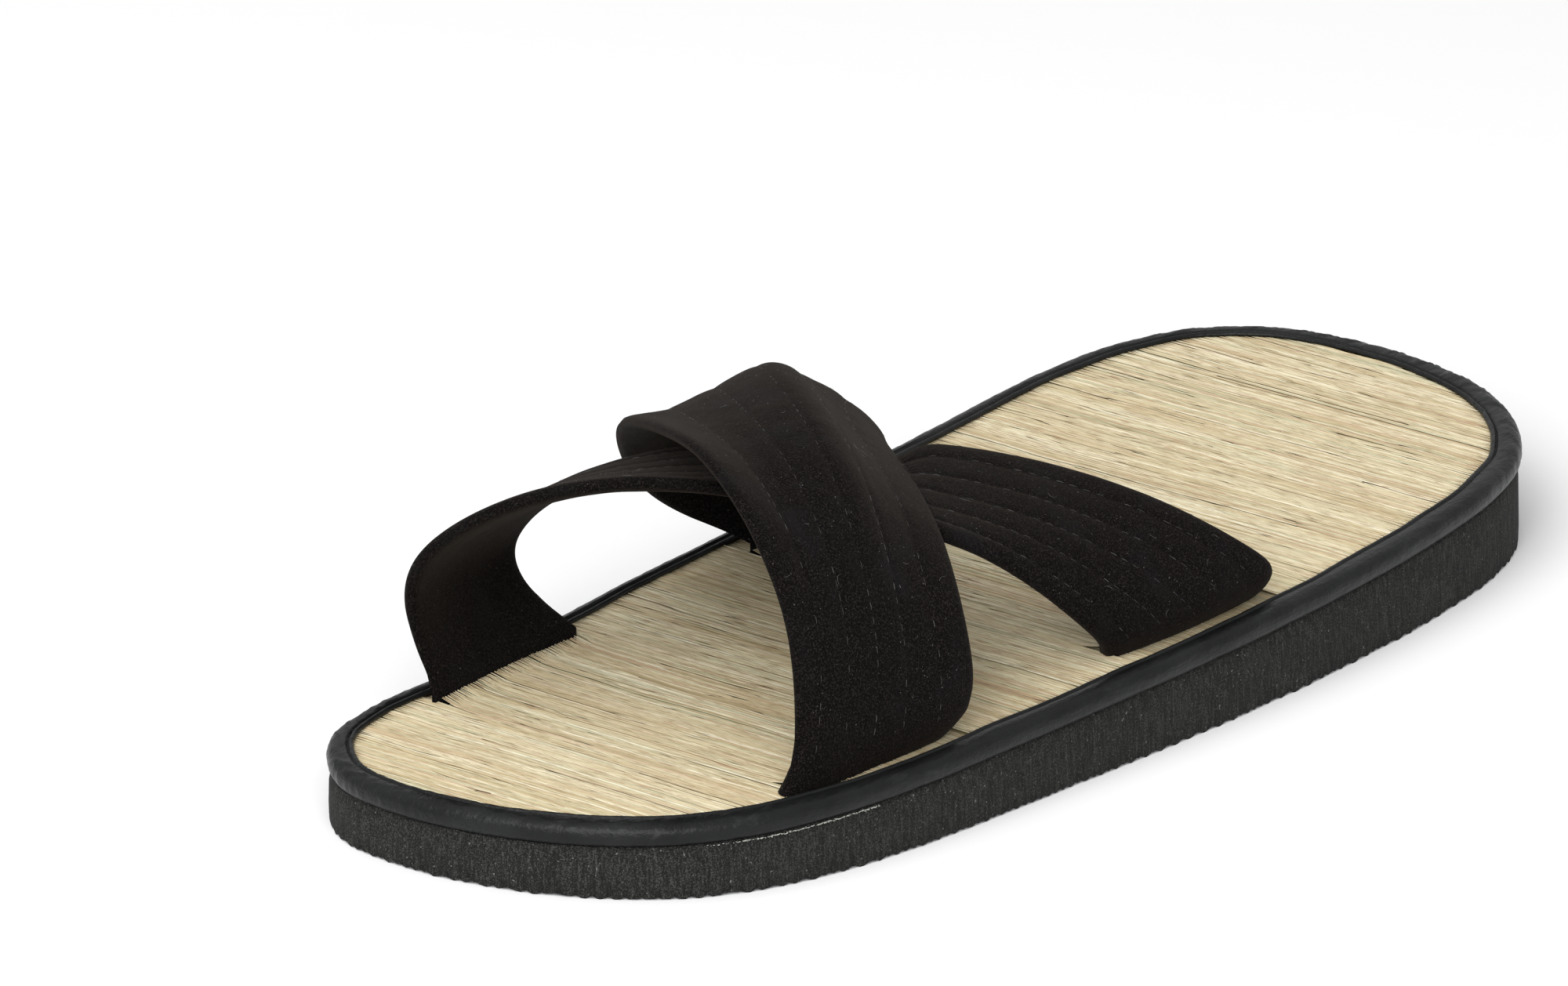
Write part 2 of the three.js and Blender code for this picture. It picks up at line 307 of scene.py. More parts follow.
def foamMaterial():
    s = Shader("sawnFoam")
    cells = s.speckle(s.place(), 3900, 2, 0.6)
    saw = s.speckle(s.place((1, 1, 0.12)), 1900, 4, 0.7)
    broad = s.speckle(s.place((1, 1, 0.35)), 60, 3, 0.5)
    tone = s.ramp(s.sums("ADD", s.sums("MULTIPLY", cells, 0.62), s.sums("MULTIPLY", saw, 0.38)),
                  [(0.40, (0.0028, 0.0028, 0.0026)), (0.50, (0.0105, 0.0105, 0.0096)),
                   (0.61, (0.056, 0.056, 0.051))])
    tone = s.mix(s.grey(broad, 0.0, 0.4), tone, (0.010, 0.010, 0.0093))
    dust = s.ramp(s.speckle(s.place(), 1700, 1, 0.4), [(0.73, (0, 0, 0)), (0.79, (1, 1, 1))])
    tone = s.mix(s.sums("MULTIPLY", dust, 0.7), tone, (0.20, 0.20, 0.19))
    s.link(tone, "Base Color")
    s.link(s.bump(cells, 0.00022, 1.0, s.bump(saw, 0.00022, 0.7)), "Normal")
    s.fix(Roughness=0.88, Specular_IOR_Level=0.22)
    return s.material


def treadMaterial():
    s = Shader("treadRubber")
    grain = s.speckle(s.place(), 2400, 3, 0.6)
    worn = s.speckle(s.place(), 55, 3, 0.5)
    tone = s.ramp(grain, [(0.3, (0.050, 0.055, 0.060)), (0.7, (0.105, 0.112, 0.120))])
    tone = s.mix(s.grey(worn, 0.0, 0.5), tone, (0.125, 0.130, 0.135))
    s.link(tone, "Base Color")
    s.link(s.bump(grain, 0.00012, 0.7), "Normal")
    s.fix(Roughness=0.62, Specular_IOR_Level=0.4)
    return s.material


def makeTreadBlock():
    # a sheet of small square pyramids, points down, under a thick block
    half, pitch, depth = foamSole["treadReach"], foamSole["treadPitch"], foamSole["treadDepth"]
    n = int(2 * half / pitch)
    turn = math.radians(foamSole["treadTurn"])
    steps = np.arange(n + 1) * pitch - half
    gx, gy = np.meshgrid(steps, steps, indexing="ij")
    corners = np.column_stack([gx.ravel(), gy.ravel(), np.full(gx.size, depth)])
    mid = (steps[:-1] + steps[1:]) / 2
    tip = foamSole["treadTip"]
    mx, my = np.meshgrid(mid, mid, indexing="ij")
    tips = [np.column_stack([(mx + sx * tip).ravel(), (my + sy * tip).ravel(), np.zeros(mx.size)])
            for sx, sy in ((-1, -1), (1, -1), (1, 1), (-1, 1))]
    points = np.vstack([corners] + tips)
    c, s = math.cos(turn), math.sin(turn)
    points[:, :2] = points[:, :2] @ np.array([[c, s], [-s, c]])
    base, cells = corners.shape[0], mx.size
    middle = points[base:base + cells].reshape(n, n, 3)
    away = np.abs(middle)
    wanted = (away[:, :, 0] < foamSole["treadHalfWide"]) & (away[:, :, 1] < foamSole["treadHalfLong"])
    lid = len(points)
    faces = []
    for i, j in np.argwhere(wanted):
        a = [base + q * cells + i * n + j for q in range(4)]
        b = [i * (n + 1) + j, (i + 1) * (n + 1) + j, (i + 1) * (n + 1) + j + 1, i * (n + 1) + j + 1]
        beside = [wanted[i, j - 1], wanted[i + 1, j], wanted[i, j + 1], wanted[i - 1, j]]
        faces.append(tuple(reversed(a)))
        faces.append(tuple(lid + v for v in b))
        for q in range(4):
            following = (q + 1) % 4
            faces.append((b[q], a[q], a[following], b[following]))
            if not beside[q]:
                faces.append((b[q], b[following], lid + b[following], lid + b[q]))
    points = np.vstack([points, points[:base] + [0, 0, foamSole["blockHeight"]]])
    used = sorted({v for f in faces for v in f})
    lookup = {v: i for i, v in enumerate(used)}
    return makeCutter("treadBlock", points[used], [tuple(lookup[v] for v in f) for f in faces])


def makeSole():
    topInset = foamSole["topInset"]
    # distance in from the outline, share of the slab's height, height above that
    levels = [(0.10, 0, -1.0), (0.0, 0, 0.4), (-0.05, 0, 3.0), (0.05, 0, 7.0), (0.2, 0.8, 0),
              (topInset, 1, -0.5), (topInset + foamSole["topRound"], 1, 0)]
    fine = np.column_stack([outline, np.zeros(outlineSteps)])
    slow = np.column_stack([outline, np.full(outlineSteps, 7.0)])
    ripple = noiseAlong(fine, foamSole["sawScale"]) * foamSole["sawWave"]
    ripple += noiseAlong(slow, foamSole["slowScale"]) * foamSole["slowWave"]
    rings = []
    for inset, share, height in levels:
        line = insetLine(inset + ripple)
        rings.append(np.column_stack([line, share * foamTop(line[:, 1]) + height]))
    faces = cappedFaces(len(rings), outlineSteps)
    sole = makePiece("foamSole", np.vstack(rings), faces, foamMaterial())
    faceOutward(sole)
    block = makeTreadBlock()
    sole.data.materials.append(treadMaterial())
    for material in sole.data.materials:
        block.data.materials.append(material)
    for face in block.data.polygons:
        face.material_index = 1
    cutPiece(sole, block, "INTERSECT")
    for face in sole.data.polygons:
        downward = face.normal.z < -0.25 and face.center.z < foamSole["treadBelow"] * mm
        face.material_index = 1 if downward else 0
        face.use_smooth = not downward and abs(face.normal.z) < 0.5
    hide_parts("sole")
    print("foam sole:", len(sole.data.polygons), "faces")


# straw mat: a board with rows of single straws laid across it

strawMat = {"top": 3.5, "rowPitch": 0.36, "strawWidth": 0.52, "strawHeight": 0.16, "segment": 3.4,
            "shortest": 14, "longest": 90, "leftover": 6, "wander": 0.4, "bedding": 0.12, "tip": 0.35,
            "tuck": 0.45, "heelEnd": 5, "toeEnd": 4, "slotHalf": 0.95, "slotFray": 0.35, "slotLift": 0.8,
            "liftReach": 2.6, "edgeDrop": 0.5, "cutHalf": 1.75, "cutPast": 0.7, "cutHeights": (2, 40)}
# the board's tone and hue, and its painted shade, which darkens it where it shows between the straws
boardLook = {"strawTone": 0.25, "strawHue": 0.45, "paintedStrawShade": 0.72}
# each straw's section: place across, height and painted shade, as shares; the painted shade darkens the
# straw's edges, where straws meet
strawSection = ((-0.5, 0.0, 0.55), (-0.22, 0.8, 0.05), (0.12, 1.0, 0.0), (0.5, 0.1, 0.55))
# each slot's front end, middle and rear end
slotLines = {"outerFront": ((-38.3, 94.8), (-40.4, 81), (-41.5, 57.3)),
             "innerRear": ((40.5, 12.4), (38.7, -9), (36.1, -29.2)),
             "innerFront": ((38.4, 102.2), (39.4, 82), (38.7, 63.9)),
             "outerRear": ((-42, 11.4), (-45.3, -8), (-43.4, -29.4))}


def strawMaterial():
    s = Shader("riceStraw")
    tone, hue, shade = s.attribute("strawTone"), s.attribute("strawHue"), s.attribute("paintedStrawShade")
    fibre = s.speckle(s.place((0.045, 1, 1)), 5200, 3, 0.6)
    body = s.ramp(tone, [(0.0, (0.42, 0.33, 0.18)), (0.25, (0.60, 0.50, 0.30)), (0.6, (0.73, 0.64, 0.42)),
                         (1.0, (0.88, 0.82, 0.62))])
    body = s.mix(s.ramp(hue, [(0.80, (0, 0, 0)), (1.0, (0.8, 0.8, 0.8))]), body, (0.50, 0.33, 0.20))
    body = s.mix(s.ramp(hue, [(0.0, (1, 1, 1)), (0.22, (0, 0, 0))]), body, (0.55, 0.54, 0.36))
    # short reddish dashes and soft darker blocks, as in dried straw
    dashes = s.speckle(s.place((0.06, 1, 1)), 2900, 2, 0.5)
    body = s.mix(s.ramp(dashes, [(0.62, (0, 0, 0)), (0.70, (0.85, 0.85, 0.85))]), body, (0.47, 0.29, 0.185))
    patches = s.speckle(s.place((0.4, 1, 1)), 105, 2, 0.5, 0.4)
    body = s.mix(s.ramp(patches, [(0.50, (0, 0, 0)), (0.60, (0.24, 0.24, 0.24))]), body, (0.56, 0.42, 0.25))
    body = s.mix(s.ramp(fibre, [(0.30, (1, 1, 1)), (0.52, (0, 0, 0))]), body, (0.34, 0.26, 0.14))
    # painted shade: each straw is darker along its edges and the board is darker between the straws
    body = s.mix(s.grey(shade, 0.0, 0.85), body, (0.16, 0.11, 0.055))
    s.link(body, "Base Color")
    s.link(s.bump(fibre, 0.00008, 0.6), "Normal")
    s.fix(Roughness=0.62, Specular_IOR_Level=0.35)
    return s.material


def spanAcross(distance, y):
    # where a line across the foot meets the outline moved in by a distance
    line = insetLine(distance)
    after = np.roll(line, -1, 0)
    hits = (line[:, 1] - y) * (after[:, 1] - y) <= 0
    if not hits.any():
        return None
    p, q = line[hits], after[hits]
    rise = q[:, 1] - p[:, 1]
    x = p[:, 0] + (q[:, 0] - p[:, 0]) * (y - p[:, 1]) / np.where(abs(rise) < 1e-9, 1, rise)
    return (x.min(), x.max()) if x.max() - x.min() > 2 else None


def slotGaps(y):
    # the stretches that the slots take out of a row of straws
    gaps = []
    for line in slotLines.values():
        xs, ys = zip(*line[::-1])
        if ys[0] - 0.4 < y < ys[-1] + 0.4:
            middle = np.interp(y, ys, xs)
            low = middle - strawMat["slotHalf"] - chance.uniform(0, strawMat["slotFray"])
            high = middle + strawMat["slotHalf"] + chance.uniform(0, strawMat["slotFray"])
            gaps.append((low, high))
    return gaps


def addStraw(straws, xs, y, row, gaps):
    # a low ridge that wanders a little, is thin at both ends and lifts against a strap
    rise = chance.normal(0, 0.05)
    wide = strawMat["strawWidth"] * chance.uniform(0.7, 1.2)
    ownTone, ownHue = chance.normal(0.6, 0.25), chance.uniform(0, 1)
    phase = chance.uniform(0, 50)
    for i, px in enumerate(xs):
        flow = noise.noise((px * 0.018, y * 0.02, 3.0)) * strawMat["wander"] * 2.2
        flow += noise.noise((px * 0.09, row * 0.11, 9.0)) * strawMat["wander"]
        flow += noise.noise((px * 0.22, phase, 1.0)) * 0.07
        swell = noise.noise((px * 0.05, y * 0.16, 5.0)) * 0.10
        z = strawMat["top"] + foamTop(y + flow) - strawMat["bedding"] + rise + swell
        for low, high in gaps:
            inner = low - px if high > 0 else px - high
            z += strawMat["slotLift"] * math.exp(-(inner / strawMat["liftReach"]) ** 2) * (inner > -0.4)
            z -= strawMat["edgeDrop"] * (inner < -1)
        thin = strawMat["tip"] if i in (0, len(xs) - 1) else 1.0
        tall = strawMat["strawHeight"]
        localTone = ownTone + 0.22 * noise.noise((px * 0.08, phase, 4.0))
        base = len(straws["points"])
        for across, up, dark in strawSection:
            straws["points"].append((px, y + flow + across * wide * thin, z + up * tall * thin))
            straws["strawTone"].append(localTone)
            straws["strawHue"].append(ownHue)
            straws["paintedStrawShade"].append(dark)
        if i:
            straws["faces"] += [(base - 4 + q, base + q, base + q + 1, base - 3 + q) for q in range(3)]


def makeStraws(strawLook, rim):
    straws = {"points": [], "faces": [], "strawTone": [], "strawHue": [], "paintedStrawShade": []}
    y = outline[:, 1].min() + strawMat["heelEnd"]
    row = 0
    while y < outline[:, 1].max() - strawMat["toeEnd"]:
        row += 1
        y += strawMat["rowPitch"] * chance.uniform(0.85, 1.15)
        span = spanAcross(rim, y)
        if span is None:
            continue
        gaps = slotGaps(y)
        cuts = [span[0]] + [v for gap in sorted(gaps) for v in gap] + [span[1]]
        for left, right in zip(cuts[::2], cuts[1::2]):
            x = left
            while x < right - 0.5:
                end = min(right, x + chance.uniform(strawMat["shortest"], strawMat["longest"]))
                if right - end < strawMat["leftover"]:
                    end = right
                count = max(2, int((end - x) / strawMat["segment"]) + 1)
                addStraw(straws, np.linspace(x, end, count), y, row, gaps)
                x = end
    points, faces = straws.pop("points"), straws.pop("faces")
    straw = makePiece("strawMat", points, faces, strawLook, True, straws)
    print("straw rows:", row, "faces", len(faces))
    return straw


def makeSlotCutter():
    # one upright box for each slot
    boxFaces = ((0, 1, 2, 3), (7, 6, 5, 4), (0, 4, 5, 1), (1, 5, 6, 2), (2, 6, 7, 3), (3, 7, 4, 0))
    points, faces = [], []
    for (x0, y0), _, (x1, y1) in slotLines.values():
        along = Vector((x1 - x0, y1 - y0, 0)).normalized()
        side = Vector((-along.y, along.x, 0)) * strawMat["cutHalf"]
        a = Vector((x0, y0, 0)) - along * strawMat["cutPast"]
        b = Vector((x1, y1, 0)) + along * strawMat["cutPast"]
        base = len(points)
        for z in strawMat["cutHeights"]:
            points += [(*(p.xy), z) for p in (a + side, a - side, b - side, b + side)]
        faces += [tuple(base + v for v in face) for face in boxFaces]
    return makeCutter("slotCutter", points, faces)


def makeBoard(strawLook, rim):
    # the board under the straws, with its thin rim in the binding: distance in, height above the foam
    levels = [(2.9, 0.3), (2.9, 1.4), (1.7, 1.4), (1.7, 2.3), (rim - 0.6, 2.35), (rim - 0.2, 2.62),
              (rim + 1, 2.68)]
    rings = []
    for distance, height in levels:
        line = insetLine(distance)
        rings.append(np.column_stack([line, foamTop(line[:, 1]) + height])[::3])
    count = len(rings[0])
    faces = cappedFaces(len(rings), count)
    tones = {key: np.full(count * len(rings), value) for key, value in boardLook.items()}
    board = makePiece("matBoard", np.vstack(rings), faces, strawLook, False, tones)
    faceOutward(board)
    cutPiece(board, makeSlotCutter(), "DIFFERENCE")
    return board


def makeStrawMat():
    strawLook = strawMaterial()
    rim = bindingWidth() - strawMat["tuck"]
    straw = makeStraws(strawLook, rim)
    board = makeBoard(strawLook, rim)
    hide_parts("insole")
    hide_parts("insole")


# binding: a strip folded round the rim, its hem turned under on the foot side

rimBinding = {"width": 4.76, "hemWidth": 1.15, "hemWave": 0.35, "top": 4.45, "wrinkle": 0.26,
              "halfWidth": 56, "halfLength": 142, "toeLoss": 0.3, "innerLoss": 0.62, "endGain": 0.55,
              "tightFrom": 88, "tightOver": 40}


def bindingWidth():
    # broader round the heel and on the outer side
    turn = np.arctan2(outline[:, 0] / rimBinding["halfWidth"], outline[:, 1] / rimBinding["halfLength"])
    width = rimBinding["width"] - rimBinding["toeLoss"] * np.cos(turn)
    return width - rimBinding["innerLoss"] * np.sin(turn) + rimBinding["endGain"] * np.cos(2 * turn)


def bindingMaterial():
    s = Shader("smoothBinding")
    pores = s.node("ShaderNodeTexVoronoi", {"Vector": s.place(), "Scale": 2300.0}).outputs["Distance"]
    fine = s.speckle(s.place(), 900, 4, 0.6)
    broad = s.speckle(s.place(), 70, 3, 0.5)
    tone = s.ramp(broad, [(0.35, (0.0045, 0.005, 0.0048)), (0.65, (0.0095, 0.0105, 0.0100))])
    scuff = s.ramp(s.speckle(s.place((1, 0.25, 1)), 260, 4, 0.7), [(0.60, (0, 0, 0)), (0.76, (1, 1, 1))])
    tone = s.mix(s.sums("MULTIPLY", scuff, 0.2), tone, (0.06, 0.062, 0.062))
    # painted shade: the ring at the bottom of the groove is painted near black
    tone = s.mix(s.attribute("paintedGrooveShade"), tone, (0.0012, 0.0012, 0.0012))
    s.link(tone, "Base Color")
    s.link(s.grey(fine, 0.26, 0.50), "Roughness")
    creases = s.speckle(s.place((1, 0.22, 1), (0, 0, 0.7)), 620, 3, 0.6)
    s.link(s.bump(pores, 0.00005, 0.35, s.bump(fine, 0.00016, 0.6, s.bump(creases, 0.0005, 0.6))), "Normal")
    s.fix(Specular_IOR_Level=0.19)
    return s.material


def makeBinding():
    top, width, hem = rimBinding["top"], rimBinding["width"], rimBinding["hemWidth"]
    # distance in from the outline and height above the foam, up the outside
    side = [(2.6, 0.3), (0.75, 0.28), (0.30, 0.36), (0.02, 0.62), (-0.22, 1.05), (-0.36, 1.6), (-0.40, 2.2),
            (-0.32, 2.85), (-0.04, 3.5), (0.42, 3.98), (1.0, 4.27), (1.6, 4.40), (2.1, top)]
    # over the hem, from where it starts and from the strip's top, with its groove at the third point
    hemLine = [(-0.56, -0.08), (-0.26, -0.22), (-0.06, -0.75), (0.12, -0.75), (0.28, -0.20), (0.56, -0.06),
               (0.86, -0.14), (1.06, -0.36), (1.15, -0.60), (1.08, -0.80), (0.7, -1.0)]
    grooveRing = len(side) + 2
    inner = [(1.4, 3.1), (1.4, 1.1), (2.6, 1.1)]
    profile = [(d, h, 0) for d, h in side]
    profile += [(d - hem, top + h, 1) for d, h in hemLine]
    profile += [(d, h, 0) for d, h in inner]
    innerEdge = bindingWidth()
    count = outlineSteps
    flat = np.column_stack([outline, np.zeros(count)])
    wave = noiseAlong(flat, 0.085) * rimBinding["hemWave"] + noiseAlong(flat, 0.4, 5.0) * 0.09
    tight = np.clip((np.abs(outline[:, 1]) - rimBinding["tightFrom"]) / rimBinding["tightOver"], 0, 1)
    rings = []
    for step, (inset, height, onHem) in enumerate(profile):
        line = insetLine(inset + onHem * (wave + innerEdge))
        z = foamTop(line[:, 1]) + height
        inset = inset + onHem * width
        if 3 < step < 22:  # the rings that show are creased, most round the toe and heel
            spot = np.column_stack([line, z])
            slant = aroundLength * 0.9 + inset * 2.1
            pleat = np.array([noise.noise((v * 0.58, 2.0, inset * 0.25)) for v in slant])
            slow = noiseAlong(spot, 0.11, 3.0)
            push = pleat * rimBinding["wrinkle"] * (0.35 + 1.15 * tight) + slow * 0.10
            grip = 0.35 if onHem else 1.0
            line = line - inward * (push * grip * (0.45 if inset < 1 else 0.2))[:, None]
            z = z + push * grip * (0.2 if inset < 0.3 else 0.9)
        rings.append(np.column_stack([line, z]))
    # the ring at the groove carries the painted shade
    paintedGrooveShade = np.zeros((len(rings), count))
    paintedGrooveShade[grooveRing] = 1
    faces = ringFaces(len(rings), count, True)
    strip = makePiece("rimBinding", np.vstack(rings), faces, bindingMaterial(), True,
                      {"paintedGrooveShade": paintedGrooveShade.ravel()})
    faceOutward(strip)
    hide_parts("binding")
    print("binding:", len(strip.data.polygons), "faces")


# the two straps

strapShape = {"half": 1.5, "nearHalf": 2.2, "farHalf": 0.85, "nearRise": 0.2, "farRise": 1.5,
              "riseHeight": 5, "along": 230, "across": 96, "stitchLines": (0.15, 0.34, 0.53, 0.71, 0.88),
              "channelDepth": 0.30, "sink": 2.8, "frontEdge": 0.35, "rearEdge": 1.5, "edgeHeight": 6,
              "overTails": (4.2, 0.3), "underTails": (1.8, 1.2), "tailHeight": 3.2, "tailShare": 0.28,
              "crossing": (0.2, 0.8), "pressed": (0.17, 0.83), "pressSpread": 16, "endRun": 16,
              "endGap": 0.35}  # crossing and pressed are shares of the length, endRun and along are steps
# control points above the mat: a line along the strap in each row, from its front edge to its rear edge
overNet = [
    [(-38.3, 94.8, 0), (-39.8, 94.2, 22.9), (-33.2, 95.7, 44), (-13.5, 90.3, 56.7), (9.1, 77.2, 51.9),
     (36.1, 55.8, 40.7), (50.5, 38.5, 25.2), (55, 25.4, 11.1), (49.1, 15.6, 4.3), (40.5, 12.4, 0)],
    [(-39.8, 95.5, 0), (-42, 90.8, 18.9), (-36.8, 89.4, 37.8), (-18.6, 82.5, 49.7), (3.2, 68.8, 47),
     (30.8, 47.8, 39.4), (46.7, 30.1, 29), (53.4, 16.3, 15.8), (47.9, 7.5, 6.4), (40.2, 4.8, 0)],
    [(-40.2, 86.7, 0), (-44, 84.2, 15.5), (-39.8, 82.7, 34.4), (-23.3, 74.5, 49), (-2.2, 59.9, 50.6),
     (24.9, 38.2, 44.3), (41, 20.4, 32.5), (49.1, 6.8, 18.5), (45.5, -1.1, 7.5), (39.4, -3.7, 0)],
    [(-40.9, 75.8, 0), (-46.1, 75.9, 12.1), (-42.6, 75.3, 30.8), (-27.6, 66.5, 47.3), (-6.8, 51.7, 52.7),
     (20.2, 29.6, 48.9), (35.6, 11.2, 35.3), (44.4, -2.9, 20.9), (42.7, -10, 8.4), (38.3, -12.7, 0)],
    [(-41.8, 65.8, 0), (-48.1, 67.3, 8.1), (-45.5, 67.7, 24.5), (-31.8, 59, 37.9), (-11.7, 44.4, 39.3),
     (14.7, 22.3, 35.4), (29.5, 2, 30.9), (39.6, -12.7, 23.1), (40, -18.6, 10.2), (37.2, -21.3, 0)],
    [(-41.5, 57.3, 0), (-49.9, 58.9, 6), (-48.5, 60.2, 21.1), (-35.9, 51.9, 33.9), (-16.8, 36.6, 34.7),
     (8.4, 13.6, 28.5), (24.7, -5.4, 20.9), (36.2, -19.8, 12.7), (37.7, -26.2, 3.8), (36.1, -29.2, 0)]]
underNet = [
    [(38.4, 102.2, 0), (44, 105.2, 15.9), (40.4, 109.4, 29.4), (21.4, 102.4, 42.5), (3.7, 86.7, 46.8),
     (-21.4, 62.9, 38.7), (-35.1, 41.9, 29.3), (-43.8, 26.1, 13.6), (-45.4, 15.6, 3.3), (-42, 11.4, 0)],
    [(39.8, 80.4, 0), (51.7, 87.7, 11), (47.4, 89.5, 24.1), (28.9, 81.2, 36), (6.6, 64, 37.9),
     (-21.4, 39.7, 32.3), (-38.4, 20.1, 22.4), (-49.5, 4.8, 10), (-50.6, -4.7, 2.8), (-44.8, -7.5, 0)],
    [(38.7, 63.9, 0), (51.6, 70.1, 9.1), (52, 68.9, 21.1), (37.4, 57.8, 31.8), (15.4, 38.3, 36.1),
     (-14.1, 13.3, 33.3), (-35.2, -6.4, 23.6), (-49.8, -20.5, 11.5), (-50.8, -28.6, 4.7), (-43.4, -29.4, 0)]]


def velvetMaterial():
    s = Shader("blackVelvet")
    pile = s.speckle(s.place(), 3100, 3, 0.6)
    brushed = s.speckle(s.place((1, 1, 0.6)), 150, 4, 0.6)
    tone = s.ramp(pile, [(0.41, (0.0006, 0.0004, 0.0004)), (0.52, (0.0030, 0.0024, 0.0022)),
                         (0.63, (0.0185, 0.0162, 0.0150))])
    tone = s.mix(s.grey(brushed, 0.0, 0.55), tone, (0.0042, 0.0032, 0.0028))
    # lighter mottles: worn pile and painted sheen
    rubbedAndSheen = s.speckle(s.place((1, 1, 0.45)), 85, 4, 0.6)
    rubbedAndSheen = s.ramp(rubbedAndSheen, [(0.50, (0, 0, 0)), (0.68, (0.55, 0.55, 0.55))])
    tone = s.mix(rubbedAndSheen, tone, (0.0080, 0.0075, 0.0082))
    flecks = s.ramp(s.speckle(s.place(), 1900, 1, 0.3), [(0.775, (0, 0, 0)), (0.82, (1, 1, 1))])
    tone = s.mix(s.sums("MULTIPLY", flecks, 0.45), tone, (0.20, 0.19, 0.18))
    s.link(tone, "Base Color")
    s.link(s.bump(pile, 0.00016, 0.9, s.bump(brushed, 0.0006, 0.5)), "Normal")
    s.fix(Roughness=0.92, Specular_IOR_Level=0.06, Sheen_Weight=0.055, Sheen_Roughness=0.40,
          Sheen_Tint=(0.66, 0.55, 0.47, 1))
    return s.material


def threadMaterial():
    s = Shader("stitchThread")
    twist = s.speckle(s.place(), 3200, 2, 0.5)
    worn = s.speckle(s.place(), 230, 2, 0.5)
    tone = s.ramp(twist, [(0.3, (0.008, 0.0076, 0.0072)), (0.72, (0.022, 0.021, 0.0195))])
    worn = s.ramp(worn, [(0.52, (0, 0, 0)), (0.66, (0.6, 0.6, 0.6))])
    s.link(s.mix(worn, tone, (0.085, 0.082, 0.077)), "Base Color")
    s.link(s.bump(twist, 0.00006, 0.6), "Normal")
    s.fix(Roughness=0.6)
    return s.material


def splineBasis(count, degree, t):
    knots = np.concatenate([[0] * degree, np.linspace(0, 1, count - degree + 1), [1] * degree])
    t = np.clip(t, 0, 1 - 1e-9)
    basis = [((knots[i] <= t) & (t < knots[i + 1])).astype(float) for i in range(len(knots) - 1)]
    for order in range(1, degree + 1):
        raised = []
        for i in range(len(basis) - 1):
            low = knots[i + order] - knots[i]
            high = knots[i + order + 1] - knots[i + 1]
            term = np.zeros_like(t)
            if low > 0:
                term = term + (t - knots[i]) / low * basis[i]
            if high > 0:
                term = term + (knots[i + order + 1] - t) / high * basis[i + 1]
            raised.append(term)
        basis = raised
    return np.column_stack(basis[:count])


def bandRows(net, w, tails, rises):
    net = np.array(net, float)
    t = np.linspace(0, 1, strapShape["along"])
    lengthwise, crosswise = splineBasis(net.shape[1], 3, t), splineBasis(net.shape[0], 2, w)
    grid = np.einsum("si,jik,wj->swk", lengthwise, net, crosswise)
    # the front corner runs out to a thin tail where it enters its slot
    tail = np.interp(t, [0, 1], tails)[:, None] * np.exp(-(grid[:, :, 2] / strapShape["tailHeight"]) ** 2)
    grid[:, :, 1] += tail * np.clip(1 - w / strapShape["tailShare"], 0, 1)[None, :] ** 2
    # the padded edges reach a little past the cloth's middle line
    side = np.gradient(grid, axis=1)
    side /= np.linalg.norm(side, axis=2)[:, :, None]
    reach = strapShape["rearEdge"] * np.clip(2 * w - 1, 0, 1) ** 6
    reach -= strapShape["frontEdge"] * np.clip(1 - 2 * w, 0, 1) ** 6
    grid += side * reach[None, :, None] * np.clip(grid[:, :, 2] / strapShape["edgeHeight"], 0, 1)[:, :, None]
    # the ends stand a little higher in their slots
    rise = np.interp(t, [0, 1], rises)[:, None]
    grid[:, :, 2] += rise * np.exp(-(grid[:, :, 2] / strapShape["riseHeight"]) ** 2)
    grid[:, :, 2] += foamTop(grid[:, :, 1]) + strawMat["top"]
    return grid


def gridNormals(grid):
    along = np.gradient(grid, axis=0)
    across = np.gradient(grid, axis=1)
    normal = np.cross(along, across)
    normal /= np.linalg.norm(normal, axis=2)[:, :, None]
    return normal if normal[len(grid) // 2, grid.shape[1] // 2, 2] > 0 else -normal


def pressDown(under, over):
    # lower the under strap where the over strap lies on it
    n, m = over.shape[:2]
    low, high = [int(n * share) for share in strapShape["crossing"]]
    part = over[low:high].reshape(-1, 3)
    quads = [(i * m + j, i * m + j + 1, (i + 1) * m + j + 1, (i + 1) * m + j)
             for i in range(high - low - 1) for j in range(m - 1)]
    tree = BVHTree.FromPolygons([Vector(p) for p in part], quads)
    press = np.zeros((n, m))
    thick = 2 * strapShape["half"] - strapShape["sink"]
    for i in range(*[int(n * share) for share in strapShape["pressed"]]):
        for j in range(m):
            x, y, z = under[i, j]
            hit = tree.ray_cast(Vector((x, y, 200)), Vector((0, 0, -1)))[0]  # from well above
            if hit is not None:
                press[i, j] = max(0, z - hit.z + thick)
    for _ in range(strapShape["pressSpread"]):
        sides = np.pad(press, ((0, 0), (1, 1)), "edge")
        ends = np.pad(press, ((1, 1), (0, 0)), "constant")
        press = np.maximum(press, (sides[:, :-2] + sides[:, 2:] + ends[:-2] + ends[2:]) / 4)
    under[:, :, 2] -= press
    return under


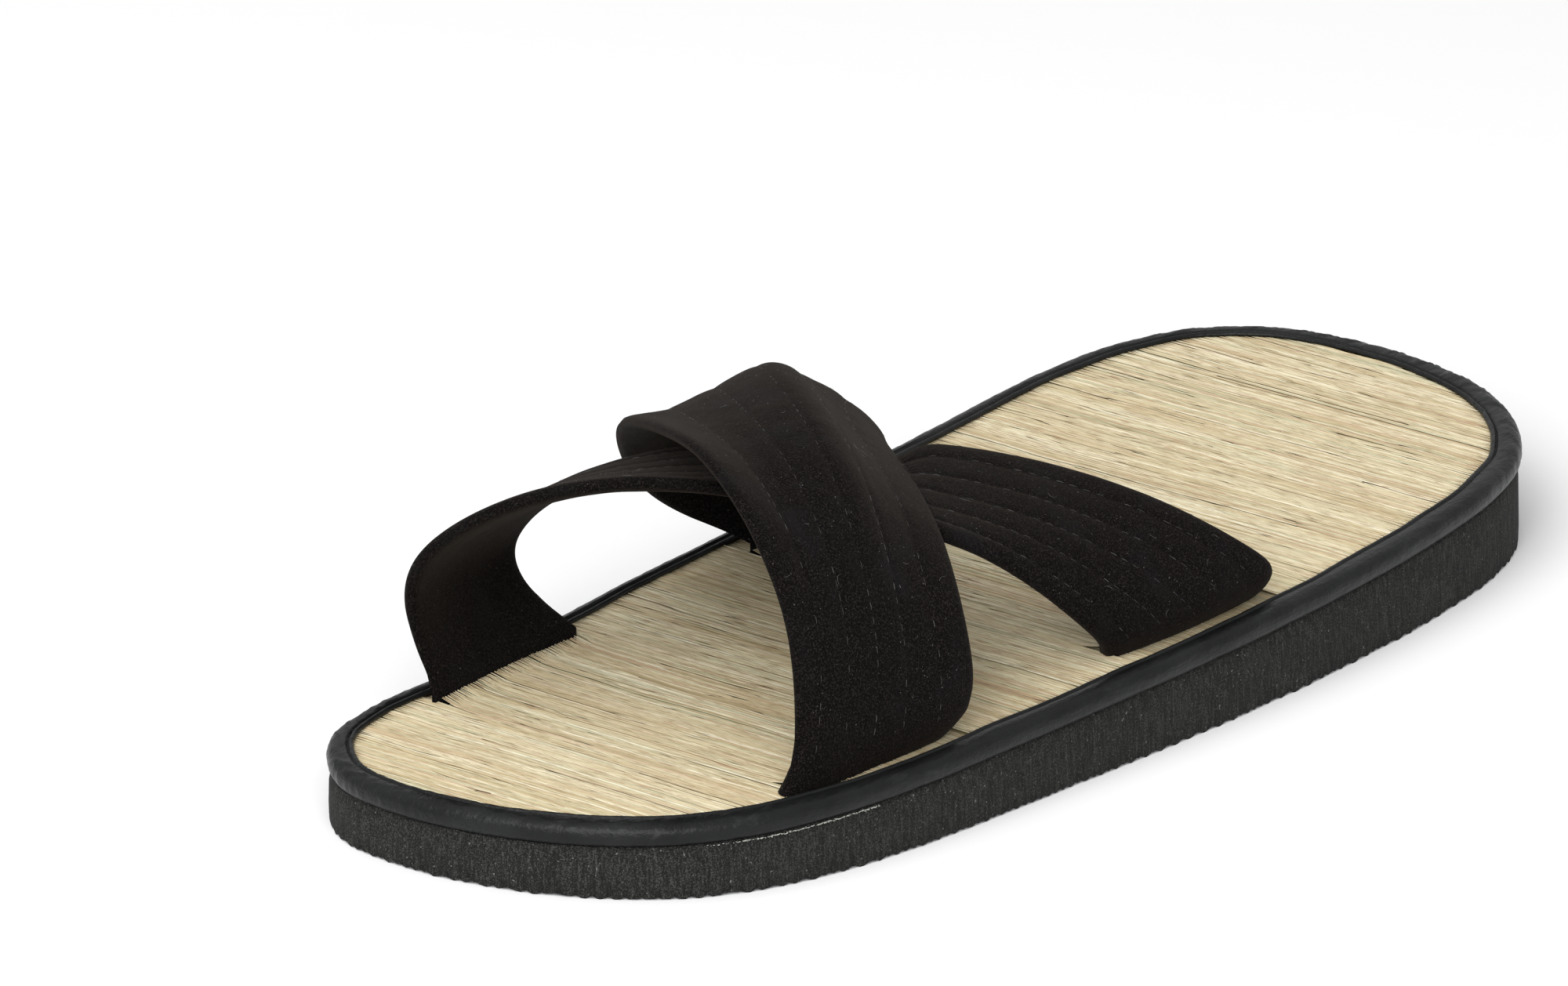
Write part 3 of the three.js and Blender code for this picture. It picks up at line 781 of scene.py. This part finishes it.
def strapRelief(grid, w, seed):
    # padding between the stitch lines, drawn in at the thread, and slow creases
    n, m = grid.shape[:2]
    lines = [0.0, *strapShape["stitchLines"], 1.0]
    pillow = np.zeros(m)
    for a, b in zip(lines[:-1], lines[1:]):
        inside = (w >= a) & (w <= b)
        u = (w[inside] - a) / (b - a)
        pillow[inside] = 1 - np.abs(2 * u - 1) ** 3.2
    plain = int(m * 0.05)
    pillow[:plain] = 1
    pillow[-plain:] = 1
    flat = grid.reshape(-1, 3)
    crease = noiseAlong(flat, 0.055, seed).reshape(n, m) * 0.5
    crease += noiseAlong(flat, 0.17, seed + 3).reshape(n, m) * 0.16
    pucker = np.array([noise.noise((i * 0.33, seed, 0.0)) for i in range(n)])[:, None]
    toThread = np.min([np.abs(w - v) for v in strapShape["stitchLines"]], axis=0)
    nearStitch = np.exp(-(toThread / 0.035) ** 2)
    relief = (pillow - 1)[None, :] * strapShape["channelDepth"] * (1 + 0.35 * pucker) + crease * 0.55
    relief += pucker * nearStitch[None, :] * 0.12
    return relief, crease


def withEnds(rows):
    # each end goes straight down through its slot, to just above the foam
    ends = rows[[0, -1]].copy()
    ends[:, :, 2] = foamTop(ends[:, :, 1]) + strapShape["endGap"]
    return np.concatenate([ends[:1], rows, ends[1:]])


def makeStrap(name, grid, material, seed, endHalves):
    n, m = grid.shape[:2]
    w = np.linspace(0, 1, m)
    normal = gridNormals(grid)
    fromEnd = np.minimum(np.arange(n), np.arange(n)[::-1])
    run, full = strapShape["endRun"], strapShape["half"]
    half = np.interp(np.arange(n), [0, run, n - 1 - run, n - 1], [endHalves[0], full, full, endHalves[1]])
    rounded = (np.clip(1 - (np.abs(2 * w - 1) ** 17), 0, 1) ** 0.5)[None, :]
    relief, crease = strapRelief(grid, w, seed)
    calm = np.interp(fromEnd, [0, 10, 30], [0, 0.3, 1])[:, None]
    thick = half[:, None] * rounded
    over = withEnds(grid + normal * (thick + relief * calm * rounded)[:, :, None])
    under = withEnds(grid - normal * (thick - crease * calm * 0.5 * rounded)[:, :, None])
    rings = np.concatenate([over, under[:, ::-1]], axis=1)
    count = rings.shape[1]
    faces = ringFaces(len(rings), count, False)
    last = (len(rings) - 1) * count
    for start in (0, last):
        end = start + count - 1
        faces += [(start + j, start + j + 1, end - 1 - j, end - j) for j in range(m - 1)]
    strap = makePiece(name, rings.reshape(-1, 3), faces, material)
    faceOutward(strap, weld=1e-6)
    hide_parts("upper")
    print(name, len(strap.data.polygons), "faces")
    return over[1:-1], normal


# stitches: each a short raised dash, and about four in ten are missing

stitching = {"pitch": 2.6, "jitter": 0.2, "missing": 0.4, "firstAt": 7.0, "lastBefore": 8,
             "halfWide": 0.075, "halfTall": 0.07}
stitchProfile = ((0, -0.10), (0.55, 0.04), (1.25, 0.04), (1.8, -0.10))  # place along, height


def pointAt(at, run, values):
    return np.array([np.interp(at, run, values[:, k]) for k in range(3)])


def makeStitches(surfaces, material):
    points, faces = [], []
    for top, normal in surfaces:
        m = top.shape[1]
        for line in strapShape["stitchLines"]:
            j = int(round(line * (m - 1)))
            path, up = top[:, j], normal[:, j]
            run = lengthAlong(path)
            spot = stitching["firstAt"]
            while spot < run[-1] - stitching["lastBefore"]:
                spot += chance.uniform(-stitching["jitter"], stitching["jitter"])
                if chance.uniform() < stitching["missing"]:
                    spot += stitching["pitch"]
                    continue
                base = len(points)
                for ahead, lift in stitchProfile:
                    at = spot + ahead
                    p, q = pointAt(at, run, path), pointAt(at, run, up)
                    side = np.cross(q, pointAt(at + 0.3, run, path) - p)
                    side /= np.linalg.norm(side) + 1e-9
                    wide, tall = stitching["halfWide"], stitching["halfTall"]
                    for c, s in ((1, 0), (0, 1), (-1, 0), (0, -1)):
                        points.append(p + side * wide * c + q * (lift + tall * s))
                addTube(faces, base, len(stitchProfile), 4)
                spot += stitching["pitch"]
    thread = makePiece("strapStitches", points, faces, material)
    faceOutward(thread)
    print("stitches:", len(faces), "faces")


# loose fibres and dust on the velvet, glue specks on the joint, as on the worn sandal

loose = {"fibres": 26, "specks": 230, "fibreRadius": 0.02, "glueSpecks": 230, "glueFrom": 85, "glueTo": 119,
         "glueDown": 0.12, "glueSink": 0.12}


def pileFibre(points, faces, centre, ahead, up, length, radius, bend):
    side = np.cross(up, ahead)
    base = len(points)
    for step in range(5):
        u = step / 4 - 0.5
        mid = centre + ahead * length * u + side * bend * (0.25 - u * u) * length + up * (0.05 + radius)
        thin = radius * (0.45 if step in (0, 4) else 1.0)
        for c, k in ((1, 0), (-0.5, 0.87), (-0.5, -0.87)):
            points.append(mid + side * thin * c + up * thin * k)
    addTube(faces, base, 5, 3)


def plainMaterial(name, colour, roughness):
    s = Shader(name)
    grain = s.speckle(s.place(), 3000, 2, 0.5)
    s.link(s.ramp(grain, [(0.3, tuple(0.7 * c for c in colour)), (0.7, colour)]), "Base Color")
    s.fix(Roughness=roughness, Specular_IOR_Level=0.2)
    return s.material


def makeLint(surfaces):
    points, faces = [], []
    for top, normal in surfaces:
        n, m = top.shape[:2]
        for index in range(loose["fibres"] + loose["specks"]):
            i, j = int(chance.integers(8, n - 8)), int(chance.integers(3, m - 3))
            up = normal[i, j]
            turn = chance.uniform(0, 2 * math.pi)
            along = top[i + 1, j] - top[i, j]
            along /= np.linalg.norm(along)
            ahead = along * math.cos(turn) + np.cross(up, along) * math.sin(turn)
            if index < loose["fibres"]:
                length, radius = chance.uniform(0.6, 2.4), loose["fibreRadius"]
            else:
                length, radius = chance.uniform(0.08, 0.2), chance.uniform(0.02, 0.05)
            pileFibre(points, faces, top[i, j], ahead, up, length, radius, chance.uniform(-2.2, 2.2))
    lint = makePiece("pileLint", points, faces, plainMaterial("paleLint", (0.20, 0.20, 0.195), 0.9))
    faceOutward(lint)
    print("lint:", len(faces), "faces")


def makeGlueSpecks():
    points, faces = [], []
    y = outline[:, 1]
    near = np.where((outline[:, 0] < 0) & (y > loose["glueFrom"]) & (y < loose["glueTo"]))[0]
    for _ in range(loose["glueSpecks"]):
        i = int(near[int(chance.beta(1.2, 1.6) * (len(near) - 1))])
        out = np.array([-inward[i][0], -inward[i][1], 0])
        along = np.array([-inward[i][1], inward[i][0], 0])
        centre = np.array([*outline[i], 0]) + along * chance.uniform(-0.3, 0.3)
        centre[2] = foamTop(centre[1]) - loose["glueDown"] + chance.normal(0, 0.08)
        length, radius = chance.uniform(0.12, 0.5), chance.uniform(0.04, 0.09)
        pileFibre(points, faces, centre - out * loose["glueSink"], along, out, length, radius, 0.0)
    glue = makePiece("glueSpecks", points, faces, plainMaterial("driedGlue", (0.52, 0.52, 0.48), 0.6))
    faceOutward(glue)
    print("glue specks:", len(faces), "faces")


def makeUpper():
    w = np.linspace(0, 1, strapShape["across"])
    near, far = strapShape["nearRise"], strapShape["farRise"]
    over = bandRows(overNet, w, strapShape["overTails"], (near, far))
    under = bandRows(underNet, w, strapShape["underTails"], (far, near))
    under = pressDown(under, over)
    material = velvetMaterial()
    thick, thin = strapShape["nearHalf"], strapShape["farHalf"]
    first = makeStrap("strapOver", over, material, 1.0, (thick, thin))
    second = makeStrap("strapUnder", under, material, 21.0, (thin, thick))
    makeStitches([first, second], threadMaterial())
    makeLint([first, second])


makeCamera()
makeStudio()
print("studio ready")
makeSole()
makeStrawMat()
makeBinding()
makeUpper()
makeGlueSpecks()
